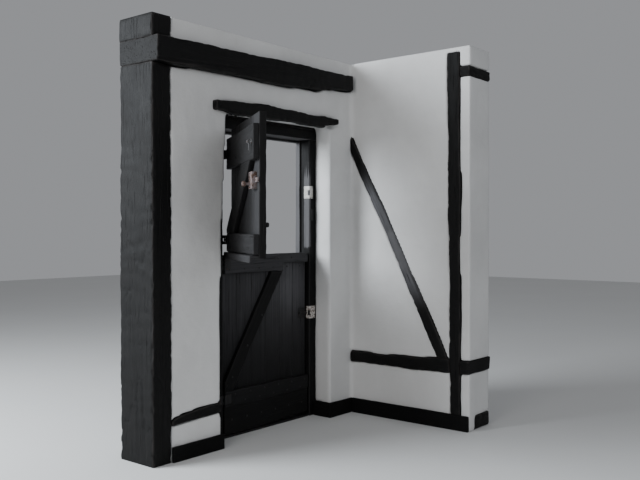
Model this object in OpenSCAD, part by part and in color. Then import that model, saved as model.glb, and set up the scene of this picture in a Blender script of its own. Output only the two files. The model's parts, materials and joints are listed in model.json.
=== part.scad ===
// Corner of a half timbered cottage with its split stable door.
// Every place is measured from the inside corner of the room: to the left along
// the door wall, to the right along the return wall, outwards into the wall's
// depth, and up from the floor.

/* [Walls] */
// Height of the wall over the doorway, from its soffit to the ceiling
over_door_h = 430; // [380:5:800]
// Width of the plaster outside between the stud beside the door and the end post
left_bay_w = 260; // [150:5:800]
// How far the return wall runs on past its post
return_past = 57; // [40:1:600]
// How far the timbers stand out of the plaster in the room
proud_in = 8; // [2:1:15]
// How far the timbers stand out of the plaster outside
proud_out = 12; // [2:1:25]
// Depth of the slow waves that the axe left along a timber's edges
hewn_wave = 4; // [0:0.5:6]

/* [Doorway] */
// Width of the plaster pier between the corner and the doorway
pier_w = 217; // [190:1:300]
// How far the plaster stands back from the hinges' side of the doorway, at the top
jamb_back = 84; // [60:1:110]
// How much further the left side of the opening reaches at the floor
opening_lean = 44; // [0:1:60]
// Bow of the left side of the opening
opening_bow = 26; // [0:1:40]
// Depth of the plastered reveal in front of the door frame
reveal_d = 120; // [100:5:150]
// Height of the plastered soffit of the opening
soffit_h = 1770; // [1650:5:2100]

/* [Timbers] */
// Drop from the ceiling to the wall beam's underside, at the far end of the door wall
beam_drop = 234; // [210:1:260]
// Depth of the wall beam from its underside to its top
beam_deep = 121; // [110:1:150]
// Rise of the wall beam's underside towards the corner
beam_rise = 61; // [0:1:70]
// How much thinner the wall beam is at the corner
beam_taper = 33; // [0:1:40]
// Length of the wall beam's thinner end at the corner
beam_thin_l = 285; // [200:5:300]
// Distance from the corner to the step under the wall beam
beam_step_at = 850; // [600:10:900]
// How far the wall beam hangs down between that step and its thinner end
beam_step_h = 9; // [0:1:20]
// Distance from the corner to the knot under the wall beam
beam_knot_at = 337; // [330:1:500]
// How far that knot hangs down
beam_knot_h = 9; // [0:1:12]
// How far the wall beam stands out into the room
beam_proud = 50; // [20:1:70]
// Depth of the lintel from its underside to its top
lintel_deep = 68; // [64:1:90]
// How far the lintel reaches over the plaster on each side of the opening
lintel_bearing = 85; // [60:1:95]
// How far the lintel's underside rises towards its ends
lintel_rise = 30; // [0:1:32]
// How far the lintel's top drops towards its ends
lintel_fall = 13; // [0:1:16]
// How far the lintel stands out into the room
lintel_proud = 34; // [15:1:50]
// How deep the lintel is let into the plaster
lintel_let = 18; // [10:1:40]
// Height of the low rail's top at the door wall
low_rail_top = 252; // [240:1:270]
// Depth of the low rail from its underside to its top
low_rail_deep = 60; // [60:1:80]
// Drop of the low rail's top towards its far end
low_rail_drop = 50; // [0:1:50]
// Width of the post at the far end of the door wall
end_post_w = 120; // [100:1:150]
// Width of the stud beside the door frame, which shows outside
door_stud_w = 105; // [80:1:120]
// Depth of the rail over the door frame, which shows outside
head_rail_deep = 115; // [90:1:130]
// Height of the sill beams that the timbers stand on
sill_h = 82; // [60:1:90]
// Thickness of plaster over the sill beams, studs and rails in the room
cover = 60; // [40:1:80]

/* [Return wall] */
// Distance from the corner to the post in the return wall
post_at = 722; // [600:1:1200]
// Width of the post in the return wall
post_w = 66; // [60:1:90]
// Lean of the post in the return wall, from the floor to the ceiling
post_lean = -26; // [-30:1:20]
// Plaster between the top of that post and the ceiling
post_gap = 25; // [5:1:60]
// Height of the return wall's rail, to its top
rail_top = 391; // [380:1:420]
// Depth of the return wall's rail from its underside to its top
rail_deep = 71; // [60:1:90]
// Height at which the brace leaves the corner
brace_top = 1694; // [1600:5:1740]
// Distance from the post to where the brace meets the rail
brace_short = 47; // [0:1:120]
// Width of the brace at the corner
brace_w = 53; // [45:1:75]
// Width of the brace at the post
brace_foot_w = 66; // [45:1:75]
// Bow of the brace
brace_bow = 7; // [0:1:20]
// Drop from the ceiling to the short top rail's top
top_rail_drop = 113; // [60:1:160]
// Depth of the short top rail from its underside to its top
top_rail_deep = 63; // [50:1:80]

/* [Skirting] */
// Height of the skirting boards round the corner
skirting_h = 90; // [85:1:120]
// Height of the skirting board to the left of the doorway
left_skirting_h = 78; // [60:1:120]
// How far that board runs past the left side of the opening
skirting_past = 8; // [0:1:20]
// Thickness of the skirting boards
skirting_t = 18; // [12:1:25]

/* [Door frame] */
// Width of the door frame's posts
frame_w = 102; // [95:1:115]
// Width of the post's face that shows beside the closed door
frame_show = 52; // [46:1:70]
// Depth of the door frame, through the wall
frame_d = 105; // [95:1:130]
// How far the door frame stands back from the wall's outer face
frame_back = 10; // [0:1:40]
// Clear width between the door frame's posts
doorway_w = 734; // [710:1:900]
// Depth of the door frame's head
head_deep = 61; // [50:1:80]
// How far the stop hangs below the head
head_stop = 19; // [14:1:24]
// Depth of the rebate that the door closes into
rebate_d = 68; // [66:1:74]
// How far the stops stand into the doorway
stop_w = 12; // [10:1:16]
// Height of the threshold
threshold_h = 12; // [6:1:12]
// Depth of the threshold
threshold_d = 100; // [60:5:100]

/* [Door] */
// Gap between the door's edges and the frame
edge_gap = 11; // [10:0.5:12]
// Gap between the door's outer face and the stops
stop_gap = 7; // [5:0.5:9]
// Gap between the upper leaf and the head
head_gap = 9; // [6:0.5:12]
// Height of the lower leaf's underside
leaf_foot = 20; // [18:1:30]
// Height of the lower leaf's top
split_h = 1012; // [980:1:1060]
// Gap between the two leaves
split_gap = 6; // [5:0.5:9]
// Thickness of the boards
board_t = 35; // [28:1:36]
// Number of boards in each leaf
boards = 6; // [3:1:7]
// Width of the groove between two boards
groove_w = 7; // [4:1:10]
// Depth of the groove between two boards
groove_d = 4; // [2:0.5:6]
// Thickness of the ledges and braces
ledge_t = 28; // [22:1:30]
// How far the free edges of the boards are worn back
edge_wear = 5; // [0:0.5:8]
// How far the lower leaf's foot is worn away at the free edge
foot_wear = 16; // [0:1:25]
// Share of the hewn waves that the planed ledges and braces keep
ledge_wave = 0.4; // [0:0.1:0.6]
// Depth of the upper leaf's top ledge
upper_ledge_deep = 165; // [120:1:180]
// Height of the boards that show above the upper leaf's top ledge
upper_horn = 55; // [30:1:70]
// Depth of the upper leaf's bottom ledge
split_ledge_deep = 97; // [80:1:110]
// Depth of the lower leaf's top ledge
lock_ledge_deep = 104; // [80:1:120]
// Distance from the hinges to the step under the lower leaf's top ledge
lock_step_at = 492; // [492:1:680]
// Height of that step
lock_step_h = 47; // [0:1:60]
// Height of the lower leaf's bottom ledge, to its top
foot_ledge_top = 260; // [240:1:300]
// Depth of the lower leaf's bottom ledge
foot_ledge_deep = 86; // [74:1:90]
// Thickness of the kick board at the foot of the lower leaf
kick_t = 22; // [18:1:28]
// Width of the upper leaf's brace
upper_brace_w = 130; // [70:1:140]
// Width of the lower leaf's brace
lower_brace_w = 80; // [60:1:80]
// Distance from the hinges to the foot of the upper leaf's brace
upper_brace_foot = 85; // [60:5:200]
// Distance from the hinges to the head of the upper leaf's brace
upper_brace_head = 530; // [400:5:540]
// Distance from the hinges to the foot of the lower leaf's brace
lower_brace_foot = 25; // [20:5:200]
// Distance from the hinges to the head of the lower leaf's brace
lower_brace_head = 436; // [380:1:436]
// Height of the batten above the upper leaf's underside
batten_h = 17; // [12:1:30]
// Gap between the batten's lip and the lower leaf
lip_gap = 6; // [5:0.5:8]
// How far the batten stops short of the hinge edge
batten_inset = 12; // [8:1:40]
// How far the batten stops short of the free edge
batten_short = 8; // [6:1:60]
// How far the batten at the split stands out past the ledges
batten_proud = 18; // [10:1:20]
// How far the batten hangs down in front of the lower leaf
batten_lap = 22; // [10:1:25]
// Angle at which the upper leaf stands open
open_angle = 124; // [0:1:124]

/* [Ironwork] */
// Radius of the hinge knuckles
knuckle_r = 6; // [5:0.5:7]
// Height of a hinge
hinge_h = 50; // [44:1:56]
// Length of a hinge plate
hinge_plate_l = 44; // [30:1:44]
// Thickness of a hinge plate
hinge_plate_t = 4; // [3:0.5:5]
// Drop from the upper leaf's top ledge to the middle of the rim latch
latch_drop = 95; // [86:1:150]
// Distance from the upper leaf's free edge to the case of the rim latch
latch_in = 48; // [30:1:50]
// Width of the rim latch
latch_w = 70; // [50:1:70]
// Height of the rim latch
latch_tall = 80; // [60:1:90]
// Thickness of the rim latch
latch_t = 25; // [20:1:27]
// Height of the bolt that runs from the latch to the free edge
latch_bolt_h = 22; // [14:1:30]
// Thickness of that bolt
latch_bolt_t = 9; // [6:1:12]
// Depth of the sunk part of the latch's face
latch_rim = 4; // [2:0.5:6]
// Radius of the latch's knob
knob_r = 13; // [8:0.5:16]
// Length of the latch's knob stem
knob_l = 32; // [25:1:45]
// Distance of the hook from the upper leaf's free edge
hook_in = 40; // [35:1:120]
// Radius of the hook's eye
hook_r = 8; // [6:0.5:10]
// Radius of the hook's bar
hook_bar_r = 3; // [2:0.5:3.5]
// Length of the hook
hook_l = 40; // [36:1:80]
// Radius of the hook's round plate
hook_plate_r = 14; // [12:0.5:20]
// Drop from the middle of the latch's keep to the middle of the hook's
hook_keep_drop = 140; // [90:5:180]
// Width and height of the bolt's plate
bolt_w = 62; // [50:1:80]
// Radius of the bolt
bolt_r = 8; // [5:0.5:10]
// Height of the bolt on the lower leaf, to its middle
bolt_h = 643; // [560:1:700]
// Height of a keep
keep_h = 76; // [60:1:90]
// Width of the latch's keep on the post's face
latch_keep_w = 30; // [24:1:44]
// How far that keep reaches into the rebate
latch_keep_in = 42; // [20:1:60]
// How far the bolt's keep reaches into the rebate
bolt_keep_in = 25; // [20:1:60]
// Width of the hook's keep
hook_keep_w = 34; // [24:1:40]
// Thickness of a keep on the post's face
keep_t = 3; // [2:0.5:4]
// Thickness of a keep inside the rebate
keep_side_t = 2; // [1:0.5:2]
// Width of a keep's slot on the post's face
keep_slot_w = 6; // [4:1:12]
// How far that slot reaches into the rebate
keep_slot_in = 12; // [6:1:18]
// Height of the round pull on the outside of the upper leaf
pull_h = 1175; // [1150:5:1400]
// Distance of the pull from the upper leaf's free edge
pull_in = 50; // [30:1:100]
// Radius of the pull
pull_r = 12; // [8:1:16]
// How far the pull's stem stands off the boards
pull_l = 14; // [10:1:20]

/* [Hidden] */
$fn = 32;

plaster = "#dcdad5";
tarred = "#25221f";
iron = "#2d2c2b";
cream = "#cfc8b8";

wall_t = reveal_d + frame_d + frame_back;
wall_h = soffit_h + over_door_h;

// The origin is the middle of the corner post's foot
corner = [-wall_t / 2, -wall_t / 2];
over = 1;
far = 4000;

// Places in the doorway, measured to the left of the inside corner
lock_side = pier_w + frame_show;
hinge_side = lock_side + doorway_w;
frame_left = hinge_side + frame_w;
frame_right = lock_side - frame_w;
opening_left = hinge_side + jamb_back;
opening_w = opening_left - pier_w;
lintel_l = opening_w + 2 * lintel_bearing;
stud_left = frame_left + door_stud_w;
post_right = stud_left + left_bay_w;
door_wall_l = post_right + end_post_w;
low_rail_l = post_right - opening_left;
return_l = post_at + post_w + return_past;
brace_foot = post_at - brace_short;
skirting_end = jamb(0) - skirting_past;

// Heights of the head, the wall beam and the short top rail
head_under = soffit_h - head_deep;
beam_under = wall_h - beam_drop;
top_rail_top = wall_h - top_rail_drop;

// Heights where one plaster panel is taken to end and the next to start
low_rail_mid = low_rail_top - low_rail_deep / 2 - low_rail_drop / 2;
beam_mid = beam_under + beam_deep / 2 + beam_rise / 2;
rail_mid = rail_top - rail_deep / 2;
post_mid = post_at + post_w / 2 + post_lean / 2;
post_top = wall_h - post_gap;

// The hinge axis, and depths in a leaf measured outwards from it
axis_in = 10;
axis_side = 4;
axis_at = hinge_side - axis_side;
leaf_back = axis_in + rebate_d - stop_gap;
board_face = leaf_back - board_t;
ledge_face = board_face - ledge_t;
leaf_start = edge_gap - axis_side;
leaf_end = doorway_w - edge_gap - axis_side;
leaf_w = leaf_end - leaf_start;
board_w = leaf_w / boards;
ledge_inset = 3;
ledge_start = leaf_start + ledge_inset;
ledge_end = leaf_end - ledge_inset;
ledge_slack = 2.5;
knuckle_gap = 0.5;
hinge_drop = 9;

// How far a brace's outline runs into its ledges, where they cut it
tuck = 6;

// How the wall beam's underside bends upwards, and the half width of its knot
beam_bend = 2.5;
beam_knot_w = 50;

// Share of the hewn waves that the long bars of the door wall keep
beam_wave = 0.6;
low_rail_wave = 0.5;

// Heights in the leaves
upper_foot = split_h + split_gap;
upper_top = head_under - head_gap;
upper_ledge_top = upper_top - upper_horn;
split_ledge_foot = upper_foot + batten_h;
split_ledge_top = split_ledge_foot + split_ledge_deep;
upper_hinge_hs = [split_ledge_top - hinge_drop - hinge_h / 2, upper_ledge_top - upper_ledge_deep / 2];
lower_hinge_hs = [foot_ledge_top - foot_ledge_deep / 2, split_h - lock_ledge_deep / 2];
kick_top = foot_ledge_top - foot_ledge_deep;
latch_h = upper_ledge_top - upper_ledge_deep - latch_drop;
hook_keep_h = latch_h - hook_keep_drop;

// Slow waves along a hewn edge
function hewn(u, phase) = hewn_wave * (sin(0.47 * u + phase) + 0.5 * sin(1.31 * u + 2.3 * phase));
function stations(l) = max(4, round(l / 40));
function edge(l, from, to, phase, wave) = [
    for (i = [0:stations(l)])
        let (u = l * i / stations(l))
        [u, from + (to - from) * i / stations(l) + wave * hewn(u, phase)]
];
function reversed(points) = [for (i = [len(points) - 1:-1:0]) points[i]];

// A hewn timber that lies along an elevation, from its lower to its upper edge
module hewn_bar(l, low, high, phase, wave = 1)
    polygon(concat(
        edge(l, low[0], low[1], phase, wave),
        reversed(edge(l, high[0], high[1], phase + 130, wave))
    ));

// The same, standing up, from its left to its right edge
module hewn_post(h, left, right, phase, wave = 1)
    mirror([1, -1])
        hewn_bar(h, left, right, phase, wave);

// A bowed brace between two points, with a width at each
module hewn_brace(from, to, w, bow, phase, wave = 1) {
    run = to - from;
    n = stations(norm(run));
    side = [-run[1], run[0]] / norm(run);
    function half(i) = (w[0] + (w[1] - w[0]) * i / n) / 2;
    function at(i, way) =
        let (waves = wave * hewn(norm(run) * i / n, phase + 30 * way))
        from + run * i / n + side * (way * half(i) + bow * sin(180 * i / n) + waves);
    polygon(concat(
        [for (i = [0:n]) at(i, 1)],
        [for (i = [n:-1:0]) at(i, -1)]
    ));
}

// Each wall's elevation is drawn as seen from the room, and given its depth
module in_door_wall(inner, outer)
    translate([corner[0], corner[1] + outer, 0])
        rotate([90, 0, 0])
            linear_extrude(outer - inner)
                children();

module in_return_wall(inner, outer)
    translate([corner[0] + outer, corner[1], 0])
        rotate([90, 0, -90])
            linear_extrude(outer - inner)
                children();

// A plan of the door wall, drawn left of the corner, raised between two heights
module in_plan(low, high)
    translate([corner[0], corner[1], low])
        linear_extrude(high - low)
            children();

// Rectangles left and right of the corner
module span(left, right, low, high)
    translate([-left, low])
        square([left - right, high - low]);

module bay(left, right, low, high)
    translate([left, low])
        square([right - left, high - low]);

// Elevations of the door wall's timbers
function beam_hang(s) =
    s < beam_thin_l || s > beam_step_at
    ? 0
    : beam_step_h + beam_knot_h * max(0, 1 - abs(s - beam_knot_at) / beam_knot_w);
function beam_underside() = [
    for (p = edge(door_wall_l, beam_under, beam_under, 200, beam_wave))
        [p[0], p[1] + beam_rise * pow(p[0] / door_wall_l, beam_bend) - beam_hang(door_wall_l - p[0])]
];
module beam_elevation()
    translate([-door_wall_l, 0])
        polygon(concat(
            beam_underside(),
            reversed(edge(
                door_wall_l,
                beam_under + beam_deep,
                beam_under + beam_deep + beam_rise - beam_taper,
                340,
                beam_wave
            ))
        ));

// The lintel thins to a tip at each end
function lintel_tip(u) = pow(max(0, 1 - min(u, lintel_l - u) / (1.5 * lintel_bearing)), 2);
function lintel_edge(h, tip, phase, wave) = [
    for (p = edge(lintel_l, h, h, phase, wave)) [p[0], p[1] + tip * lintel_tip(p[0])]
];
module lintel_elevation()
    translate([-opening_left - lintel_bearing, 0])
        polygon(concat(
            lintel_edge(soffit_h, lintel_rise, 180, 1),
            reversed(lintel_edge(soffit_h + lintel_deep, -lintel_fall, 310, 1.6))
        ));

// The low rail's top drops in a curve towards the end post
module low_rail_elevation()
    translate([-post_right, 0])
        polygon(concat(
            edge(
                low_rail_l,
                low_rail_top - low_rail_deep - low_rail_drop / 5,
                low_rail_top - low_rail_deep,
                300,
                low_rail_wave
            ),
            reversed([
                for (p = edge(low_rail_l, low_rail_top, low_rail_top, 70, low_rail_wave))
                    [p[0], p[1] - low_rail_drop * (1 - sqrt(p[0] / low_rail_l))]
            ])
        ));

module stud_elevation()
    span(stud_left, frame_left, sill_h, beam_mid);

module head_rail_elevation()
    span(stud_left, 0, soffit_h, soffit_h + head_rail_deep);

// The left side of the opening leans and bows
function jamb(h) = opening_left + opening_lean * (1 - h / soffit_h) + opening_bow * sin(180 * h / soffit_h);

module doorway_hole() {
    in_door_wall(-proud_in - over, reveal_d)
        polygon(concat(
            [[-pier_w, -over], [-pier_w, soffit_h]],
            [for (i = [12:-1:0]) [-jamb(soffit_h * i / 12), soffit_h * i / 12]],
            [[-jamb(0), -over]]
        ));
    in_door_wall(reveal_d, wall_t + over)
        span(frame_left, frame_right, -over, soffit_h);
}

// A piece of the door wall's plaster, cut round all that is let into it
module door_wall_plaster(left, right, low, high)
    color(plaster)
        difference() {
            in_door_wall(0, wall_t)
                difference() {
                    span(left, right, low, high);
                    beam_elevation();
                    low_rail_elevation();
                }
            in_door_wall(-over, lintel_let)
                lintel_elevation();
            in_door_wall(cover, wall_t + over)
                span(door_wall_l, 0, -over, sill_h);
            in_door_wall(reveal_d, wall_t + over) {
                stud_elevation();
                head_rail_elevation();
            }
            doorway_hole();
        }

module left_panel()
    door_wall_plaster(post_right, opening_left, low_rail_mid, beam_mid);

module left_base_panel()
    door_wall_plaster(post_right, opening_left, 0, low_rail_mid);

module pier_panel()
    door_wall_plaster(pier_w, 0, 0, beam_mid);

module head_panel()
    door_wall_plaster(opening_left, pier_w, soffit_h, beam_mid);

module top_panel()
    door_wall_plaster(post_right, 0, beam_mid, wall_h);

// Timbers of the door wall
module corner_post()
    color(tarred)
        translate([corner[0], corner[1], 0])
            cube([wall_t + proud_out, wall_t + proud_out, wall_h]);

module end_post()
    color(tarred)
        in_door_wall(-proud_in, wall_t + proud_out)
            difference() {
                span(door_wall_l, post_right, 0, wall_h);
                beam_elevation();
            }

module wall_beam()
    color(tarred)
        in_door_wall(-beam_proud, wall_t + proud_out)
            beam_elevation();

module lintel()
    color(tarred)
        in_door_wall(-lintel_proud, lintel_let)
            lintel_elevation();

module low_rail()
    color(tarred)
        difference() {
            in_door_wall(-proud_in, wall_t + proud_out)
                low_rail_elevation();
            doorway_hole();
            in_door_wall(reveal_d, wall_t + far)
                span(stud_left, 0, 0, beam_mid);
        }

module door_stud()
    color(tarred)
        in_door_wall(reveal_d, wall_t + proud_out)
            difference() {
                stud_elevation();
                beam_elevation();
                head_rail_elevation();
            }

module head_rail()
    color(tarred)
        in_door_wall(reveal_d, wall_t + proud_out)
            head_rail_elevation();

module sill_beams()
    color(tarred) {
        in_door_wall(cover, wall_t + proud_out)
            difference() {
                span(post_right, 0, 0, sill_h);
                span(frame_left, frame_right, -over, far);
            }
        in_return_wall(cover, wall_t + proud_out)
            difference() {
                bay(0, return_l, 0, sill_h);
                post_elevation();
            }
    }

// Elevations of the return wall's timbers
module post_elevation()
    hewn_post(
        post_top,
        [post_at, post_at + post_lean],
        [post_at + post_w, post_at + post_w + post_lean / 3],
        40,
        0.6
    );

module rail_band()
    hewn_bar(
        return_l,
        [rail_top - rail_deep - 4, rail_top - rail_deep + 4],
        [rail_top - 6, rail_top + 12],
        10
    );

module rail_elevation()
    difference() {
        rail_band();
        post_elevation();
    }

module brace_elevation()
    difference() {
        hewn_brace(
            [0, brace_top] + ([0, brace_top] - [brace_foot, rail_top]) / 8,
            [brace_foot, rail_top] + ([brace_foot, rail_top] - [0, brace_top]) / 8,
            [brace_w, brace_foot_w],
            brace_bow,
            100,
            0.5
        );
        bay(-far, 0, -far, far);
        bay(-far, far, -far, rail_mid);
        bay(post_mid, far, -far, far);
        rail_band();
        post_elevation();
    }

module top_rail_band()
    translate([post_mid, 0])
        hewn_bar(
            return_l - post_mid,
            [top_rail_top - top_rail_deep, top_rail_top - top_rail_deep],
            [top_rail_top, top_rail_top],
            60,
            0.4
        );

module top_rail_elevation()
    difference() {
        top_rail_band();
        post_elevation();
    }

// A piece of the return wall's plaster, inside an outline
module return_plaster()
    color(plaster)
        difference() {
            in_return_wall(0, wall_t)
                difference() {
                    children();
                    post_elevation();
                    rail_band();
                    brace_elevation();
                    top_rail_band();
                }
            in_return_wall(cover, wall_t + over)
                bay(-over, return_l + over, -over, sill_h);
        }

module return_brace_panel()
    return_plaster()
        polygon([[0, rail_mid], [brace_foot, rail_mid], [brace_foot, rail_top], [0, brace_top]]);

module return_main_panel()
    return_plaster()
        polygon([
            [0, brace_top], [brace_foot, rail_top], [brace_foot, rail_mid],
            [post_mid, rail_mid], [post_mid, wall_h], [0, wall_h]
        ]);

module return_base_panel()
    return_plaster()
        bay(0, return_l, 0, rail_mid);

module return_end_panel()
    return_plaster()
        bay(post_mid, return_l, rail_mid, wall_h);

// Timbers of the return wall
module return_timber()
    color(tarred)
        in_return_wall(-proud_in, wall_t + proud_out)
            children();

module return_post()
    return_timber()
        post_elevation();

module return_brace()
    return_timber()
        brace_elevation();

module return_rail()
    return_timber()
        rail_elevation();

module return_top_rail()
    return_timber()
        top_rail_elevation();

// Skirting boards, scribed round the timbers that stand proud
module door_wall_skirting()
    color(tarred) {
        in_door_wall(-skirting_t, 0)
            span(post_right, skirting_end, 0, left_skirting_h);
        in_plan(0, skirting_h)
            polygon([
                [0, -skirting_t], [0, 0], [-pier_w, 0], [-pier_w, reveal_d],
                [-pier_w - skirting_t, reveal_d], [-pier_w - skirting_t, -skirting_t]
            ]);
    }

module return_skirting()
    color(tarred)
        difference() {
            in_return_wall(-skirting_t, 0)
                bay(skirting_t, return_l, 0, skirting_h);
            return_post();
        }

// Door frame: two rebated posts under a rebated head
module hinge_post()
    color(tarred)
        in_plan(0, head_under)
            polygon([
                [-frame_left, reveal_d], [-hinge_side, reveal_d],
                [-hinge_side, reveal_d + rebate_d], [-hinge_side + stop_w, reveal_d + rebate_d],
                [-hinge_side + stop_w, reveal_d + frame_d], [-frame_left, reveal_d + frame_d]
            ]);

module lock_post()
    color(tarred)
        in_plan(0, head_under)
            polygon([
                [-frame_right, reveal_d], [-lock_side, reveal_d],
                [-lock_side, reveal_d + rebate_d], [-lock_side - stop_w, reveal_d + rebate_d],
                [-lock_side - stop_w, reveal_d + frame_d], [-frame_right, reveal_d + frame_d]
            ]);

module frame_head()
    color(tarred) {
        in_door_wall(reveal_d, reveal_d + frame_d)
            span(frame_left, frame_right, head_under, soffit_h);
        in_door_wall(reveal_d + rebate_d, reveal_d + frame_d)
            span(hinge_side - stop_w, lock_side + stop_w, head_under - head_stop, head_under + over);
    }

module threshold()
    color(tarred)
        difference() {
            in_door_wall(reveal_d + frame_d - threshold_d, reveal_d + frame_d)
                span(hinge_side, lock_side, 0, threshold_h);
            hinge_post();
            lock_post();
        }

// Hangs a leaf's pieces, drawn closed and to the right of the hinge axis
module hung(angle)
    translate([corner[0] - axis_at, corner[1] + reveal_d - axis_in, 0])
        rotate([0, 0, -angle])
            children();

module in_leaf(front, back)
    translate([0, back, 0])
        rotate([90, 0, 0])
            linear_extrude(back - front)
                children();

// The worn foot of a leaf, from the hinges to the free edge
function worn_foot(low, wear) =
    wear == 0
    ? [[0, low], [leaf_end, low]]
    : [for (i = [0:6]) [leaf_end * i / 6, low + wear * pow(i / 6, 2)]];

// A leaf's boards: grooves in plan on both faces, and a worn free edge and foot in elevation
module leaf_boards(low, high, phase, wear)
    color(tarred)
        intersection() {
            translate([0, 0, low - over])
                linear_extrude(high - low + 2 * over)
                    difference() {
                        translate([leaf_start, board_face])
                            square([leaf_w, board_t]);
                        for (i = [1:boards - 1], face = [0, 1])
                            translate([leaf_start + i * board_w, board_face + face * board_t])
                                polygon([
                                    [-groove_w / 2, 0],
                                    [0, groove_d * (1 - 2 * face)],
                                    [groove_w / 2, 0]
                                ]);
                    }
            in_leaf(board_face - over, leaf_back + over)
                polygon(concat(
                    worn_foot(low, wear),
                    [for (i = [1:12])
                        let (wave = 0.5 + 0.5 * sin(70 * i + phase))
                        [leaf_end - edge_wear * wave, low + (high - low) * i / 12]],
                    [[0, high]]
                ));
        }

module ledge_elevation(low, high, phase)
    translate([ledge_start, 0])
        hewn_bar(ledge_end - ledge_start, [low, low], [high, high], phase, ledge_wave);

module ledge()
    color(tarred)
        in_leaf(ledge_face, board_face)
            children();

module leaf_brace(foot, head, w, phase)
    color(tarred)
        in_leaf(ledge_face, board_face)
            difference() {
                intersection() {
                    hewn_brace(
                        foot + (foot - head) / 4,
                        head + (head - foot) / 4,
                        [w, w],
                        0,
                        phase,
                        ledge_wave
                    );
                    bay(ledge_start, ledge_end, foot[1] - tuck, head[1] + tuck);
                }
                children();
            }

// Upper leaf
module upper_top_ledge_elevation()
    ledge_elevation(upper_ledge_top - upper_ledge_deep, upper_ledge_top, 15);

module upper_bottom_ledge_elevation()
    ledge_elevation(split_ledge_foot, split_ledge_top, 220);

module upper_boards()
    hung(open_angle)
        leaf_boards(upper_foot, upper_top, 0, 0);

module upper_top_ledge()
    hung(open_angle)
        ledge()
            upper_top_ledge_elevation();

module upper_bottom_ledge()
    hung(open_angle)
        ledge()
            upper_bottom_ledge_elevation();

module upper_brace()
    hung(open_angle)
        leaf_brace(
            [upper_brace_foot, split_ledge_top],
            [upper_brace_head, upper_ledge_top - upper_ledge_deep],
            upper_brace_w,
            50
        ) {
            upper_top_ledge_elevation();
            upper_bottom_ledge_elevation();
        }

// The batten closes the split: its lip hangs in front of the lower leaf
module upper_batten()
    color(tarred)
        hung(open_angle)
            translate([leaf_start + batten_inset, 0, 0])
                rotate([90, 0, 90])
                    linear_extrude(leaf_w - batten_inset - batten_short)
                        polygon([
                            [ledge_face - batten_proud, upper_foot - batten_lap],
                            [ledge_face - lip_gap, upper_foot - batten_lap],
                            [ledge_face - lip_gap, upper_foot],
                            [board_face, upper_foot],
                            [board_face, split_ledge_foot - ledge_slack],
                            [ledge_face - batten_proud, split_ledge_foot - ledge_slack]
                        ]);

// Rim latch: a case with a rounded lid, a bolt to the free edge and a turning knob
module upper_latch()
    color(cream)
        hung(open_angle)
            translate([leaf_end - latch_in - latch_w, 0, latch_h]) {
                difference() {
                    in_leaf(board_face - latch_t, board_face)
                        translate([0, -latch_tall / 2])
                            square([latch_w, latch_tall]);
                    in_leaf(board_face - latch_t - over, board_face - latch_t + latch_rim)
                        translate([latch_rim, latch_rim - latch_tall / 2])
                            square([latch_w / 2, latch_tall - 2 * latch_rim]);
                }
                in_leaf(board_face - latch_bolt_t, board_face)
                    translate([latch_w, -latch_bolt_h / 2])
                        square([latch_in - edge_wear, latch_bolt_h]);
                translate([latch_w / 4, board_face - latch_t + latch_rim, -latch_tall / 5])
                    rotate([90, 0, 0]) {
                        cylinder(r = knob_r / 2, h = knob_l);
                        translate([0, 0, knob_l])
                            knob(knob_r);
                    }
            }

module knob(r)
    rotate_extrude()
        intersection() {
            circle(r = r);
            translate([0, -r / 1.5])
                square([r, 2 * r / 1.5]);
        }

// A round pull on the outside, on its plate
module upper_pull()
    color(iron)
        hung(open_angle)
            translate([leaf_end - pull_in, leaf_back, pull_h])
                rotate([-90, 0, 0]) {
                    cylinder(r = pull_r + keep_t, h = keep_t);
                    cylinder(r = pull_r / 2, h = pull_l);
                    translate([0, 0, pull_l])
                        knob(pull_r);
                }

// A cabin hook hanging from its eye near the free edge
module upper_hook()
    color(iron)
        hung(open_angle)
            translate([leaf_end - hook_in, ledge_face, upper_ledge_top - upper_ledge_deep / 2]) {
                rotate([90, 0, 0])
                    cylinder(r = hook_plate_r, h = hook_bar_r);
                translate([0, -hook_r - hook_bar_r - 1, 0]) {
                    rotate([0, 90, 0])
                        rotate_extrude()
                            translate([hook_r, 0])
                                circle(r = hook_bar_r);
                    translate([0, 0, -hook_l])
                        cylinder(r = 0.8 * hook_bar_r, h = hook_l - hook_r);
                }
            }

module upper_hinges()
    hung(open_angle)
        for (h = upper_hinge_hs)
            leaf_hinge(h);

// Lower leaf
module lower_top_ledge_elevation()
    difference() {
        ledge_elevation(split_h - lock_ledge_deep, split_h, 320);
        bay(lock_step_at, far, 0, split_h - lock_ledge_deep + lock_step_h);
    }

module lower_bottom_ledge_elevation()
    ledge_elevation(kick_top, foot_ledge_top, 120);

module lower_boards()
    hung(0)
        leaf_boards(leaf_foot, split_h, 140, foot_wear);

module lower_top_ledge()
    hung(0)
        ledge()
            lower_top_ledge_elevation();

module lower_bottom_ledge()
    hung(0)
        ledge()
            lower_bottom_ledge_elevation();

module lower_brace()
    hung(0)
        leaf_brace(
            [lower_brace_foot, foot_ledge_top],
            [lower_brace_head, split_h - lock_ledge_deep],
            lower_brace_w,
            250
        ) {
            lower_top_ledge_elevation();
            lower_bottom_ledge_elevation();
        }

module kick_board()
    color(tarred)
        hung(0)
            in_leaf(board_face - kick_t, board_face)
                difference() {
                    intersection() {
                        bay(ledge_start, ledge_end, leaf_foot - over, kick_top + tuck);
                        polygon(concat(
                            worn_foot(leaf_foot, foot_wear),
                            [[leaf_end, split_h], [0, split_h]]
                        ));
                    }
                    lower_bottom_ledge_elevation();
                }

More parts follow.
